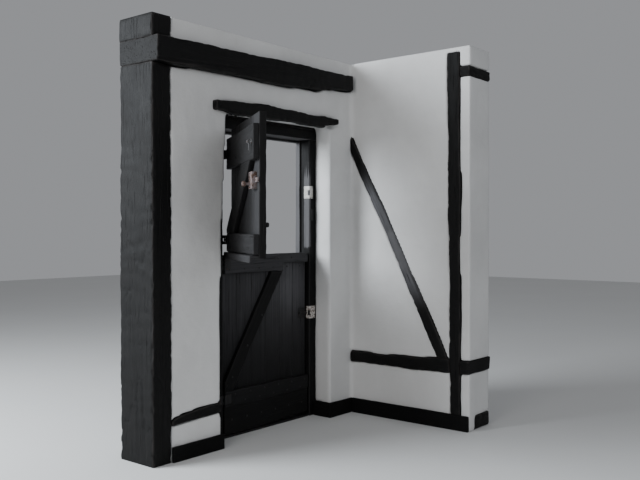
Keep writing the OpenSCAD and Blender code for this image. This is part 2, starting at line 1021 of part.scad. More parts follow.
module lower_bolt()
    color(iron)
        hung(0)
            translate([leaf_end - edge_wear - bolt_w, 0, bolt_h]) {
                in_leaf(board_face - hinge_plate_t, board_face)
                    translate([0, -bolt_w / 2])
                        square([bolt_w, bolt_w]);
                translate([0, board_face - hinge_plate_t - bolt_r / 2, 0])
                    rotate([0, 90, 0])
                        cylinder(r = bolt_r, h = bolt_w);
            }

module lower_hinges()
    hung(0)
        for (h = lower_hinge_hs)
            leaf_hinge(h);

// Hinges: the leaf carries the middle knuckle, the frame the two outer ones
module leaf_hinge(h)
    color(iron) {
        translate([0, 0, h - hinge_h / 6 + knuckle_gap])
            cylinder(r = knuckle_r, h = hinge_h / 3 - 2 * knuckle_gap);
        translate([0, ledge_face - hinge_plate_t, h - hinge_h / 6 + knuckle_gap])
            cube([2 * knuckle_r, hinge_plate_t, hinge_h / 3 - 2 * knuckle_gap]);
        translate([1.5 * knuckle_r, ledge_face - hinge_plate_t, h - hinge_h / 2])
            cube([hinge_plate_l, hinge_plate_t, hinge_h]);
    }

module frame_hinge(h)
    color(iron) {
        for (side = [-1, 1])
            translate([0, 0, h + side * hinge_h / 3]) {
                translate([0, 0, -hinge_h / 6])
                    cylinder(r = knuckle_r, h = hinge_h / 3);
                translate([-2 * knuckle_r, axis_in - 1.5 * hinge_plate_t, -hinge_h / 6])
                    cube([2 * knuckle_r, 1.5 * hinge_plate_t, hinge_h / 3]);
            }
        translate([-1.5 * knuckle_r - hinge_plate_l, axis_in - 1.5 * hinge_plate_t, h - hinge_h / 2])
            cube([hinge_plate_l, 1.5 * hinge_plate_t, hinge_h]);
    }

module hinge_plates()
    hung(0)
        for (h = concat(upper_hinge_hs, lower_hinge_hs))
            frame_hinge(h);

// A keep wraps round the lock post's edge and has a slot for the bolt
module keep(h, w, reach)
    difference() {
        in_plan(h - keep_h / 2, h + keep_h / 2)
            polygon([
                [-lock_side + w, reveal_d], [-lock_side + w, reveal_d - keep_t],
                [-lock_side - keep_side_t, reveal_d - keep_t], [-lock_side - keep_side_t, reveal_d + reach],
                [-lock_side, reveal_d + reach], [-lock_side, reveal_d]
            ]);
        in_door_wall(-far, reveal_d + keep_slot_in)
            span(door_wall_l, lock_side - keep_slot_w, h - keep_h / 4, h + keep_h / 6);
    }

module latch_keep()
    color(cream)
        keep(latch_h, latch_keep_w, latch_keep_in);

module bolt_keep()
    color(cream)
        keep(bolt_h, frame_show, bolt_keep_in);

module hook_keep()
    color(iron)
        in_door_wall(reveal_d - hook_bar_r, reveal_d)
            span(
                lock_side - keep_side_t,
                lock_side - keep_side_t - hook_keep_w,
                hook_keep_h - hook_keep_w,
                hook_keep_h + hook_keep_w
            );

corner_post();
end_post();
wall_beam();
lintel();
low_rail();
door_stud();
head_rail();
sill_beams();
left_panel();
left_base_panel();
pier_panel();
head_panel();
top_panel();
door_wall_skirting();
return_skirting();
return_post();
return_brace();
return_rail();
return_top_rail();
return_brace_panel();
return_main_panel();
return_base_panel();
return_end_panel();
hinge_post();
lock_post();
frame_head();
threshold();
hinge_plates();
latch_keep();
bolt_keep();
hook_keep();
upper_boards();
upper_top_ledge();
upper_bottom_ledge();
upper_brace();
upper_batten();
upper_latch();
upper_hook();
upper_pull();
upper_hinges();
lower_boards();
lower_top_ledge();
lower_bottom_ledge();
lower_brace();
kick_board();
lower_bolt();
lower_hinges();
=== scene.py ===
# Corner of a half timbered house: an oak frame with lime plaster between, and a split stable door.
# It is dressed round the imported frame, which gives its sizes and places, in metres.
import json
import math

import bmesh
import bpy
import numpy as np
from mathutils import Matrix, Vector

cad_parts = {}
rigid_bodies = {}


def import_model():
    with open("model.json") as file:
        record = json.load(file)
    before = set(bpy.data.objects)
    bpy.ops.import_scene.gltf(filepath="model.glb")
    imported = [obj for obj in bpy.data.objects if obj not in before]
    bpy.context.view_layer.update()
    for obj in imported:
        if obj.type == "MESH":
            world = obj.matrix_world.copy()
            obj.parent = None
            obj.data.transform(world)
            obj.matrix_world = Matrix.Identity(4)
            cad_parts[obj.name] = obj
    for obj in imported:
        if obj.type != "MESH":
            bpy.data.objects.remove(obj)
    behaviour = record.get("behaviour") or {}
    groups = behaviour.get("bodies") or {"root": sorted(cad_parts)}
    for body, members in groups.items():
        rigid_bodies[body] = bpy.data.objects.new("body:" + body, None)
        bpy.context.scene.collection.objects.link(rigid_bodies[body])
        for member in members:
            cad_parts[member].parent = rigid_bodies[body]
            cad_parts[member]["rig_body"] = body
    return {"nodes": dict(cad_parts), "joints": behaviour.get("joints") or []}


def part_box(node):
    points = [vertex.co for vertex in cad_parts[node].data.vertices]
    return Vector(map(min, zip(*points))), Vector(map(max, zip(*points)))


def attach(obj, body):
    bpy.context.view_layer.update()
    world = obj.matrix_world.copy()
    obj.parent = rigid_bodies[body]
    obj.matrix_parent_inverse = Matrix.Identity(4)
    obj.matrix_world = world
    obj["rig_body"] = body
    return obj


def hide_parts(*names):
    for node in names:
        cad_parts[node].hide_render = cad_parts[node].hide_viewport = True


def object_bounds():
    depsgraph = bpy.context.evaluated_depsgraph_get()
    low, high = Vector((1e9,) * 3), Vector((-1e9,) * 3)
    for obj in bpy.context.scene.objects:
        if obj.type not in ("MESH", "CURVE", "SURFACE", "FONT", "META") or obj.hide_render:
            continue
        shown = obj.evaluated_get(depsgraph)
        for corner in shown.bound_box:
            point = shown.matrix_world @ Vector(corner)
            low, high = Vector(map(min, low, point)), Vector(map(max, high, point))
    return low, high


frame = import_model()
cad_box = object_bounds()

# Camera and light. The eye stands in the room, to the left of the door and at chest height,
# and looks into the corner. Its lens is given in pixels of a picture 640 pixels wide.
eye = Vector((-4.1695, -3.1855, 1.148))
look = Vector((0.773, 0.634, -0.0117))
lens_px = 800
picture_w = 640
sensor_w = 36
camera = bpy.data.objects.new("camera", bpy.data.cameras.new("camera"))
camera.data.sensor_width = sensor_w
camera.data.lens = sensor_w * lens_px / picture_w
camera.location = eye
camera.rotation_euler = look.to_track_quat("-Z", "Y").to_euler()
bpy.context.collection.objects.link(camera)
bpy.context.scene.camera = camera


def soft_light(name, place, aim, size, watts, colour):
    """A large soft lamp at a place, aimed at a point."""
    lamp = bpy.data.objects.new(name, bpy.data.lights.new(name, "AREA"))
    lamp.data.shape = "DISK"
    lamp.data.size = size
    lamp.data.energy = watts
    lamp.data.color = colour
    lamp.location = place
    lamp.rotation_euler = (Vector(aim) - Vector(place)).to_track_quat("-Z", "Y").to_euler()
    bpy.context.collection.objects.link(lamp)


soft_light(
    "window_side", place=(-5.0, -1.6, 1.9), aim=(-0.3, -0.4, 0.8),
    size=2.2, watts=56, colour=(1.0, 0.99, 0.985),
)
soft_light(
    "room_side", place=(-1.2, -5.2, 3.2), aim=(-0.6, -0.1, 1.0),
    size=2.6, watts=31, colour=(0.87, 0.93, 1.0),
)
soft_light(
    "yard_side", place=(-4.6, 2.2, 2.7), aim=(-0.35, -0.05, 1.1),
    size=2.8, watts=450, colour=(0.88, 0.94, 1.0),
)
sky = bpy.data.worlds.new("pale_room")
sky.use_nodes = True
sky_glow = sky.node_tree.nodes["Background"]
sky_glow.inputs["Color"].default_value = (0.86, 0.88, 0.92, 1)
sky_glow.inputs["Strength"].default_value = 0.35
bpy.context.scene.world = sky


# Floor of the studio: a plain pale sheet, far wider than the wall, that isn't part of the house.
# Its finish is written as a recipe, as each finish here is: sums on sockets, which add the nodes.
class Socket:
    """A node's output, on which sums are written as on a number."""

    def __init__(self, recipe, socket):
        self.recipe = recipe
        self.socket = socket

    def sum(self, operation, *values):
        return self.recipe.node("ShaderNodeMath", {"operation": operation}, dict(enumerate(values)))

    def __add__(self, other):
        return self.sum("ADD", self, other)

    def __radd__(self, other):
        return self.sum("ADD", other, self)

    def __sub__(self, other):
        return self.sum("SUBTRACT", self, other)

    def __rsub__(self, other):
        return self.sum("SUBTRACT", other, self)

    def __mul__(self, other):
        return self.sum("MULTIPLY", self, other)

    def __rmul__(self, other):
        return self.sum("MULTIPLY", other, self)

    def __truediv__(self, other):
        return self.sum("DIVIDE", self, other)

    def __rtruediv__(self, other):
        return self.sum("DIVIDE", other, self)


class Recipe:
    """A node tree that is written out as expressions."""

    def __init__(self, tree):
        self.tree = tree

    def node(self, kind, settings=None, sockets=None, out=0):
        """Adds a node. Its settings are set first, then the values or links of its sockets."""
        made = self.tree.nodes.new(kind)
        for name, value in (settings or {}).items():
            setattr(made, name, value)
        for key, value in (sockets or {}).items():
            if isinstance(value, Socket):
                self.tree.links.new(value.socket, made.inputs[key])
            else:
                made.inputs[key].default_value = value
        return Socket(self, made.outputs[out]) if made.outputs else None


class Finish(Recipe):
    """A surface finish, and the patterns that its coat is made of."""

    def __init__(self, name):
        self.material = bpy.data.materials.new(name)
        self.material.use_nodes = True
        super().__init__(self.material.node_tree)
        self.tree.nodes.clear()

    def place(self):
        """The place of a point in the house, in metres."""
        return self.node("ShaderNodeTexCoord", out="Object")

    def field(self, name):
        """A vector that is stored on the mesh."""
        return self.node("ShaderNodeAttribute", {"attribute_name": name}, out="Vector")

    def level(self, name):
        """A number that is stored on the mesh."""
        return self.node("ShaderNodeAttribute", {"attribute_name": name}, out="Fac")

    def cloud(self, vector, scale, detail=3.0, rough=0.55):
        """Cloudy noise, with about that many swells in a metre."""
        sockets = {"Vector": vector, "Scale": scale, "Detail": detail, "Roughness": rough}
        return self.node("ShaderNodeTexNoise", sockets=sockets)

    def drawn_out(self, vector, swells, detail=3.0, rough=0.55):
        """Cloudy noise with its own number of swells in a metre along each of three ways."""
        scaled = self.node("ShaderNodeVectorMath", {"operation": "MULTIPLY"}, {0: vector, 1: swells})
        return self.cloud(scaled, 1.0, detail, rough)

    def between(self, value, low, high):
        """0 below low, 1 above high, and smooth between."""
        sockets = {"Value": value, "From Min": low, "From Max": high}
        return self.node("ShaderNodeMapRange", {"interpolation_type": "SMOOTHSTEP"}, sockets)

    def mixed(self, mask, first, second):
        """The first colour where the mask is 0, and the second where it is 1."""
        mask_in, first_in, second_in, colour_out = 0, 6, 7, 2
        sockets = {mask_in: mask}
        for key, colour in ((first_in, first), (second_in, second)):
            sockets[key] = colour if isinstance(colour, Socket) else (*colour, 1.0)
        return self.node("ShaderNodeMix", {"data_type": "RGBA"}, sockets, out=colour_out)

    def coat(self, colour, roughness, relief, depth, fixed=None):
        """Ends the recipe: a shader with its colour, roughness and relief, whose depth is in metres."""
        bump = self.node("ShaderNodeBump", sockets={"Height": relief, "Distance": depth, "Strength": 1.0})
        sockets = {"Base Color": colour, "Roughness": roughness, "Normal": bump}
        sockets.update(fixed or {})
        shader = self.node("ShaderNodeBsdfPrincipled", sockets=sockets)
        self.node("ShaderNodeOutputMaterial", sockets={"Surface": shader})
        return self.material


floor_half = 14.0
floor_corners = [(x * floor_half, y * floor_half, 0) for x, y in ((-1, -1), (1, -1), (1, 1), (-1, 1))]
pale = Finish("pale_floor")
pale_cloud = pale.cloud(pale.place(), 0.8)
pale_tone = pale.mixed(pale_cloud, (0.62, 0.62, 0.61), (0.66, 0.66, 0.65))
pale_coat = pale.coat(pale_tone, roughness=0.9, relief=pale_cloud, depth=0.0005)
floor_mesh = bpy.data.meshes.new("pale_floor")
floor_mesh.from_pydata(floor_corners, [], [(0, 1, 2, 3)])
floor = bpy.data.objects.new("pale_floor", floor_mesh)
floor.data.materials.append(pale_coat)
bpy.context.collection.objects.link(floor)


# Frame of the house: oak beams, posts and rails, hewn with the axe and coated with black tar.
# Their faces keep shallow strokes of the axe, shakes along the grain and worn arrises.
# A timber's skin is made from its solid: closed, rounded, then worked along its own grain.
def drift(points, length, seed, count=20):
    """Smooth seeded unevenness from about -1 to 1, whose swells are about a length apart."""
    draw = np.random.default_rng(seed)
    ways = draw.normal(size=(count, 3))
    ways /= np.linalg.norm(ways, axis=1)[:, None]
    lengths = length * draw.uniform(0.7, 1.6, count)
    turns = ways * (2 * np.pi / lengths)[:, None]
    starts = draw.uniform(0, 2 * np.pi, count)
    return np.sin(points @ turns.T + starts).sum(axis=1) / math.sqrt(count)


def step_up(values, low, high):
    """0 below low, 1 above high, and smooth between."""
    share = np.clip((values - low) / (high - low), 0, 1)
    return share * share * (3 - 2 * share)


def band(values, start, full, fade, end):
    """0 below start, 1 from full to fade, 0 again above end, and smooth between."""
    return step_up(values, start, full) * (1 - step_up(values, fade, end))


def between_foot_and_top(points):
    """1 on the wall, falling to 0 at its foot and its top, which stay level."""
    level_edge = 0.02
    height = points[:, 2]
    return step_up(height, 0.0, level_edge) * step_up(cad_box[1].z - height, 0.0, level_edge)


def joined_solid(*nodes):
    """The solids of some nodes in one bmesh, with their loose triangles joined."""
    weld = 0.00002
    joined = bmesh.new()
    for node in nodes:
        joined.from_mesh(frame["nodes"][node].data)
    bmesh.ops.remove_doubles(joined, verts=joined.verts, dist=weld)
    return joined


def shown(mesh, name):
    """A new piece in the scene that shows a mesh."""
    mesh.name = name
    piece = bpy.data.objects.new(name, mesh)
    bpy.context.collection.objects.link(piece)
    return piece


def shown_solid(solid, name):
    """A new piece in the scene that shows a bmesh, which is then freed."""
    mesh = bpy.data.meshes.new(name)
    solid.to_mesh(mesh)
    solid.free()
    return shown(mesh, name)


def settled(piece):
    """The piece with its modifiers worked into its mesh."""
    graph = bpy.context.evaluated_depsgraph_get()
    mesh = bpy.data.meshes.new_from_object(
        piece.evaluated_get(graph), preserve_all_data_layers=True, depsgraph=graph
    )
    piece.modifiers.clear()
    piece.data = mesh
    mesh.name = piece.name
    return piece


def closed_skin(name, nodes, cell, rounds):
    """One closed skin over the solids of some nodes, in cells of one size, rounded a few times."""
    piece = shown_solid(joined_solid(*nodes), name)
    remesh = piece.modifiers.new("skin", "REMESH")
    remesh.mode = "VOXEL"
    remesh.voxel_size = cell
    smooth = piece.modifiers.new("rounding", "SMOOTH")
    smooth.factor = 0.5
    smooth.iterations = rounds
    return settled(piece)


def rows(items, field, size, kind):
    """One field of all the vertices or edges of a mesh, a row of numbers for each."""
    values = np.empty(len(items) * size, kind)
    items.foreach_get(field, values)
    return values.reshape(-1, size)


def points_of(mesh):
    """The places of a mesh's vertices."""
    return rows(mesh.vertices, "co", 3, np.float32).astype(float)


def normals_of(mesh):
    """The ways that a mesh's vertices face."""
    return rows(mesh.vertex_normals, "vector", 3, np.float32).astype(float)


def move_points(mesh, points):
    """Puts a mesh's vertices at new places."""
    mesh.vertices.foreach_set("co", points.astype(np.float32).ravel())


def store(mesh, name, values):
    """Stores numbers or vectors on the mesh's vertices, for its finish to read."""
    kind = "FLOAT_VECTOR" if values.ndim == 2 else "FLOAT"
    field = mesh.attributes.new(name, kind, "POINT")
    field.data.foreach_set("vector" if values.ndim == 2 else "value", values.astype(np.float32).ravel())


def crests(mesh, rounds=2):
    """How far each point stands out of its neighbours, in metres: high on arrises."""
    points = points_of(mesh)
    edges = rows(mesh.edges, "vertices", 2, np.int32)
    links = np.zeros(len(points))
    np.add.at(links, edges.ravel(), 1)
    mean = points.copy()
    for _ in range(rounds):
        total = np.zeros_like(points)
        np.add.at(total, edges[:, 0], mean[edges[:, 1]])
        np.add.at(total, edges[:, 1], mean[edges[:, 0]])
        mean = total / links[:, None]
    return ((points - mean) * normals_of(mesh)).sum(axis=1)


def along_grain(points, seed):
    """Places measured along a timber's length, then across it, with a start of its own."""
    farthest_start = 20
    spread = points - points.mean(axis=0)
    ways = np.linalg.eigh(spread.T @ spread)[1][:, ::-1]
    start = np.random.default_rng(seed).uniform(0, farthest_start, 3)
    return spread @ ways + start, ways


HEWN = {"stroke": 0.0018, "swell": 0.0022, "ridge": 0.0006, "shake": 0.0035, "chip": 0.0060}
PLANED = {"stroke": 0.0, "swell": 0.0008, "ridge": 0.0003, "shake": 0.0012, "chip": 0.0012}


def worked(piece, grain, lengthwise, cell, seed, stroke, swell, ridge, shake, chip):
    """Works a timber's skin along its grain: swells, axe strokes, ridges, shakes and worn arrises."""
    stroke_long, stroke_wide, stroke_middle = 0.085, 0.07, 0.6
    row_turn, row_reach = 12.9898, 43.7
    shake_width = 0.05
    mesh = piece.data
    points = points_of(mesh)
    normals = normals_of(mesh)
    flank = 1 - step_up(np.abs(normals @ lengthwise), 0.5, 0.8)
    # Swells, and strokes that lie in rows along the grain. Each row of them starts elsewhere.
    slow = grain * (1, 3, 3)
    row = np.floor(grain[:, 1] / stroke_wide + 0.5 * drift(slow, 0.9, seed + 1))
    row_start = row_reach * np.sin(row * row_turn + seed)
    strokes = grain[:, 0] / stroke_long + row_start + 0.35 * drift(grain, 0.25, seed + 2)
    strokes = np.abs(np.sin(np.pi * strokes)) - stroke_middle
    out = swell * drift(slow, 0.5, seed + 3) + stroke * strokes * flank
    # Ridges along the grain, long ones on the sides and short ones on the ends too.
    fine = grain * (1, 14, 14)
    out += ridge * drift(fine, 0.35, seed + 4, count=32) * flank
    out += 0.4 * ridge * drift(fine, 0.12, seed + 5, count=32)
    # Shakes follow the lines where one unevenness is zero, and open where another is high.
    split = drift(grain * (1, 7, 7), 0.5, seed + 6) / shake_width
    split_here = step_up(drift(grain, 0.8, seed + 7), -0.1, 0.5)
    out -= shake * np.exp(-split * split) * split_here * flank
    # Arrises are chipped here and there.
    arris = np.clip(crests(mesh) / (0.25 * cell), 0, 1)
    chipped_here = step_up(drift(grain * (1, 2, 2), 0.06, seed + 8), 0.2, 1.2)
    out -= chip * arris * chipped_here * flank
    out *= between_foot_and_top(points)
    move_points(mesh, points + normals * out[:, None])
    store(mesh, "grain", grain)
    store(mesh, "worn", arris)


def worked_timber(node, cell, seed, how, finish, kept=0.5, rounds=2, shape=None):
    """A timber of the frame or the door, shaped, worked, thinned to a share kept, and finished."""
    piece = closed_skin(node + "_timber", [node], cell, rounds)
    points = points_of(piece.data)
    if shape:
        points = shape(points)
        move_points(piece.data, points)
    grain, ways = along_grain(points, seed)
    worked(piece, grain, ways[:, 0], cell, seed, **how)
    thinning = piece.modifiers.new("thinning", "DECIMATE")
    thinning.ratio = kept
    settled(piece)
    piece.data.shade_smooth()
    piece.data.materials.append(finish)
    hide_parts(node)
    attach(piece, frame["nodes"][node]["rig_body"])
    return piece


def tarred_wood(name, roughness, groove, tint, wear_tint):
    """Tar on wood: near black with streaks and rubbed arrises, grey where dusty or worn through, and also
    grey as painted sheen and daylight.
    """
    dust_and_sheen_grey = (0.100, 0.098, 0.104)
    bare_and_lit_dark, bare_and_lit_pale = (0.056, 0.055, 0.057), (0.122, 0.118, 0.122)
    thin_tint = [0.62 * c for c in tint]
    pale_tint = [1.9 * c for c in tint]
    tar = Finish(name)
    grain = tar.field("grain")
    fibres = tar.drawn_out(grain, (14, 330, 330), 4.0)
    streaks = tar.drawn_out(grain, (2.2, 46, 46))
    scratches = tar.between(tar.drawn_out(grain, (1.5, 130, 130), 4.0, 0.6), 0.40, 0.62)
    checks = 1 - tar.between(tar.drawn_out(grain, (5, 110, 110), 2.0, 0.4), 0.30, 0.36)
    patches = tar.cloud(grain, 7.0, 4.0, 0.6)
    streaky = tar.mixed(tar.between(streaks, 0.35, 0.7), thin_tint, tint)
    patchy = tar.mixed(tar.between(patches, 0.45, 0.8) * 0.6, streaky, pale_tint)
    grey_held = (0.36 + 0.3 * scratches + 0.7 * patches) * (1 - 0.75 * checks)
    # Dust greys the tar. On the return brace the same grey is a painted sheen, and on the leaves' edges
    # its lack is painted shade.
    greyed = tar.mixed(tar.level("dust_and_painted_light") * grey_held, patchy, dust_and_sheen_grey)
    rubbed = tar.between(tar.level("worn") + 0.6 * patches, 0.80, 1.40)
    tarred = tar.mixed(rubbed * 0.75, greyed, wear_tint)
    # Worn and weathered wood shows these greys, and on some pieces the same greys are painted daylight and
    # sheen.
    bare_and_painted_light = tar.between(tar.level("bare_and_painted_light") + 0.9 * patches + 0.25 * scratches, 0.85, 1.15)
    colour = tar.mixed(bare_and_painted_light, tarred, tar.mixed(streaks, bare_and_lit_dark, bare_and_lit_pale))
    matt = roughness + 0.22 * patches + 0.18 * fibres
    relief = 0.45 * fibres + 0.5 * streaks + 0.25 * patches - 0.8 * checks
    return tar.coat(colour, matt, relief, groove, fixed={"Specular IOR Level": 0.18})


tarred_oak = tarred_wood(
    "tarred_oak", roughness=0.46, groove=0.0034,
    tint=(0.0038, 0.0035, 0.0034), wear_tint=(0.026, 0.023, 0.022),
)


def lintel_ends(points):
    """The lintel is sawn square at its left end, and cut away from below at its right end."""
    slices = 100
    last_slice = slices - 0.01           # keeps the end itself in the last slice
    sawn_foot, sawn_top = 1.774, 1.829   # heights of the sawn end
    sawn_full, sawn_run = 0.03, 0.14     # how far in it is full, and has run out
    sawn_out = 0.018                     # how much longer the sawn end is
    cut_in, cut_soft = 0.165, 0.008      # how far in the cut starts, and half its run
    cut_foot, cut_climb = 1.781, 0.10    # height of its foot, and its climb in a metre
    thin_top = 1.833                     # height of the thin end's top
    thin_in, thin_full = 0.20, 0.05      # how far in the top starts to fall, and is down
    thin_short = 0.036                   # how much shorter the thin end is
    along = points[:, 0]
    start = along.min()
    end = along.max()
    cells = ((along - start) / (end - start) * last_slice).astype(int)
    middles = start + (np.arange(slices) + 0.5) * (end - start) / slices
    under = np.interp(along, middles, [points[cells == cell, 2].min() for cell in range(slices)])
    over = np.interp(along, middles, [points[cells == cell, 2].max() for cell in range(slices)])
    share = (points[:, 2] - under) / (over - under)
    left = 1 - step_up(along, start + sawn_full, start + sawn_run)
    cut = step_up(along, end - cut_in - cut_soft, end - cut_in + cut_soft)
    right = step_up(along, end - thin_in, end - thin_full)
    ramp = cut_foot + cut_climb * (along - end + cut_in)
    under += (sawn_foot - under) * left + (ramp - under) * cut
    over += (sawn_top - over) * left + (thin_top - over) * right
    points[:, 2] = under + share * (over - under)
    points[:, 0] -= sawn_out * left + thin_short * right
    return points


def beam_end(points):
    """The wall beam's face stops short of the corner, and has a long shake above its lower arris."""
    wall_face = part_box("left_panel")[0].y
    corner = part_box("return_main_panel")[0].x
    beam_front = wall_face - 0.02                # all that lies before it is the beam's face
    proud_from, proud_full = 0.001, 0.008        # only what stands out of the wall is shorter
    short, short_run = 0.042, 0.25               # how much shorter, and over what length
    split_start, split_foot = -1.6, 1.978        # a point on the shake
    split_climb = 0.065                          # its climb in a metre
    split_half, split_deep = 0.006, 0.007        # half its width, and its depth
    split_to, split_fade = -1.02, 0.2            # where it ends, and over what length
    along = points[:, 0]
    split_line = split_foot + split_climb * (along - split_start)
    split = (points[:, 2] - split_line) / split_half
    split = np.exp(-split * split) * (1 - step_up(along, split_to - split_fade, split_to))
    points[:, 1] += split_deep * split * (points[:, 1] < beam_front)
    proud = step_up(wall_face - points[:, 1], proud_from, proud_full)
    points[:, 0] -= short * proud * step_up(along, corner - short_run, corner)
    return points


# The size of each timber's cells. Small ones keep its arrises crisp, and are rounded only once.
house_timbers = {
    "corner_post": 0.009, "end_post": 0.008, "wall_beam": 0.0055, "lintel": 0.0045, "low_rail": 0.0055,
    "door_stud": 0.008, "head_rail": 0.008, "sill_beams": 0.009, "return_post": 0.006,
    "return_brace": 0.0055, "return_rail": 0.0055, "return_top_rail": 0.006,
}
crisp_cell = 0.006
shapes = {"lintel": lintel_ends, "wall_beam": beam_end}
# Heights on the return wall's brace where a painted sheen, the window's reflection in its tar, starts, is
# full, fades and ends: a wide grey band and a narrower pale one.
brace_sheen_wide = (0.66, 0.86, 1.34, 1.54)
brace_sheen_peak = (0.84, 0.97, 1.10, 1.24)
# A timber draws with nine seeds in a row, so the next one starts ten further on.
house_seed, seeds_each = 11, 10
for number, (node, cell) in enumerate(house_timbers.items()):
    rounds = 1 if cell < crisp_cell else 2
    seed = house_seed + seeds_each * number
    timber = worked_timber(node, cell, seed, HEWN, tarred_oak, rounds=rounds, shape=shapes.get(node))
    if node == "return_brace":
        # The brace's grey and pale bands are a painted sheen: the window's reflection in the glossy tar.
        height = points_of(timber.data)[:, 2]
        store(timber.data, "dust_and_painted_light", 0.9 * band(height, *brace_sheen_wide))
        store(timber.data, "bare_and_painted_light", 0.74 * band(height, *brace_sheen_peak))


# Plaster: lime and hair, laid by hand between the timbers, round the opening and into the corner.
# It is one soft skin over all the infill panels, uneven by a few millimetres. Over the opening its
# underside climbs from the room's face towards the door frame.
plaster_nodes = [
    "left_panel", "left_base_panel", "pier_panel", "head_panel", "top_panel",
    "return_brace_panel", "return_main_panel", "return_base_panel", "return_end_panel",
]
plaster_cell = 0.0117
plaster = closed_skin("plaster", plaster_nodes, plaster_cell, rounds=2)
plaster_points = points_of(plaster.data)
plaster_normals = normals_of(plaster.data)

soffit_climb = 0.022
soffit_left, soffit_right, soffit_run = -1.27, -0.30, 0.04
soffit_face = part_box("head_panel")[0].y
soffit_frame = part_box("frame_head")[0].y
soffit_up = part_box("head_panel")[0].z
in_opening = band(
    plaster_points[:, 0], soffit_left, soffit_left + soffit_run, soffit_right, soffit_right + soffit_run
)
at_soffit = band(plaster_points[:, 2] - soffit_up, -0.07, -0.03, 0.02, 0.04)
faces_down = step_up(-plaster_normals[:, 2], 0.2, 0.7)
into_wall = step_up(plaster_points[:, 1], soffit_face, soffit_frame)
plaster_points[:, 2] += soffit_climb * in_opening * faces_down * at_soffit * into_wall

# Depth and length of the swells that the float left, from the long ones to the short.
hand_marks = ((0.0022, 0.62), (0.0011, 0.24), (0.0004, 0.09))
plaster_seed = 501
uneven = sum(
    depth * drift(plaster_points, length, plaster_seed + number)
    for number, (depth, length) in enumerate(hand_marks)
)
uneven *= between_foot_and_top(plaster_points)
plaster_points += plaster_normals * uneven[:, None]
move_points(plaster.data, plaster_points)
plaster.data.shade_smooth()

lime = Finish("lime_plaster")
lime_place = lime.place()
lime_cloud = lime.cloud(lime_place, 2.2, 4.0)
lime_mottle = lime.cloud(lime_place, 9.0, 5.0, 0.6)
lime_brush = lime.drawn_out(lime_place, (26, 26, 60))
lime_grit = lime.cloud(lime_place, 240.0, 2.0)
dull_white, fresh_white, old_white = (0.60, 0.595, 0.585), (0.68, 0.675, 0.665), (0.52, 0.51, 0.49)
lime_white = lime.mixed(lime.between(lime_cloud, 0.3, 0.7), dull_white, fresh_white)
lime_aged = lime.mixed(lime.between(lime_mottle, 0.55, 0.85) * 0.35, lime_white, old_white)
lime_relief = 0.9 * lime_mottle + 0.22 * lime_brush + 0.06 * lime_grit
plaster.data.materials.append(lime.coat(lime_aged, 0.8 + 0.15 * lime_mottle, lime_relief, depth=0.0035))
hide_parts(*plaster_nodes)
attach(plaster, "wall")


# Skirting: painted boards along the foot of the plaster, scribed round the post and the pier.
# They are planed, and their black is flatter and deeper than the tar on the timbers.
skirting_black = tarred_wood(
    "skirting_black", roughness=0.62, groove=0.0012,
    tint=(0.0012, 0.0011, 0.0011), wear_tint=(0.005, 0.0045, 0.0045),
)
joinery_cell = 0.0045
joinery_kept = 0.4
skirting_seed = 211
for number, node in enumerate(("door_wall_skirting", "return_skirting")):
    seed = skirting_seed + seeds_each * number
    board = worked_timber(node, joinery_cell, seed, PLANED, skirting_black, joinery_kept, rounds=1)


# Door frame: two oak posts with a rebate, a head with a stop, and a low threshold.
# Planed and tarred in the room. The stops and the outer half were left to weather grey. The head's
# underside is greyed as painted daylight, and the lock post's cheek above the lower leaf is rubbed to
# the wood by hands and by the bolt, and lightened as painted daylight where the open door lets light in.
frame_oak = tarred_wood(
    "tarred_frame", roughness=0.42, groove=0.0012,
    tint=(0.0034, 0.0032, 0.0032), wear_tint=(0.024, 0.023, 0.023),
)
rebate, stop_width = 0.068, 0.012         # depth of the rebate, and how far the stops stand out
grey_from, grey_full = 0.001, 0.007       # how far past the rebate the grey starts, and is full
cheek_worn_and_lit, cheek_fade = 0.038, 0.012   # depth of the lock post's cheek that is rubbed, and lit with painted daylight
front_worn_and_lit, front_fade = 0.010, 0.008   # and its width on the post's front
worn_and_lit_heights = (1.03, 1.06, 1.56, 1.64)      # heights where it starts, is full, fades and ends
frame_seed, weather_seed = 241, 261
for number, node in enumerate(("hinge_post", "lock_post", "frame_head", "threshold")):
    seed = frame_seed + seeds_each * number
    post = worked_timber(node, joinery_cell, seed, PLANED, frame_oak, joinery_kept, rounds=1)
    points = points_of(post.data)
    across, through, up = points.T
    facing = normals_of(post.data)
    inward = through - through.min()
    weathered = 0.62 + 0.2 * drift(points, 0.4, weather_seed + number)
    bare_and_painted_light = weathered * step_up(inward, rebate + grey_from, rebate + grey_full)
    # The head's underside is greyed as painted daylight.
    if node == "frame_head":
        bare_and_painted_light = np.maximum(bare_and_painted_light, 0.55 * step_up(-facing[:, 2], 0.4, 0.8))
    # The cheek above the lower leaf is rubbed to the wood, and lightened as painted daylight from the open
    # doorway.
    if node == "lock_post":
        cheek = step_up(-facing[:, 0], 0.3, 0.7)
        cheek *= 1 - step_up(inward, cheek_worn_and_lit, cheek_worn_and_lit + cheek_fade)
        from_cheek = across - across.min() - stop_width
        front = 1 - step_up(from_cheek, front_worn_and_lit, front_worn_and_lit + front_fade)
        front *= 1 - step_up(inward, 0.0, 0.01)
        reach = band(up, *worn_and_lit_heights) * (1 - 0.6 * step_up(up, 1.38, 1.56))
        bare_and_painted_light = np.maximum(bare_and_painted_light, 0.75 * np.maximum(cheek, front) * reach)
    store(post.data, "bare_and_painted_light", bare_and_painted_light)


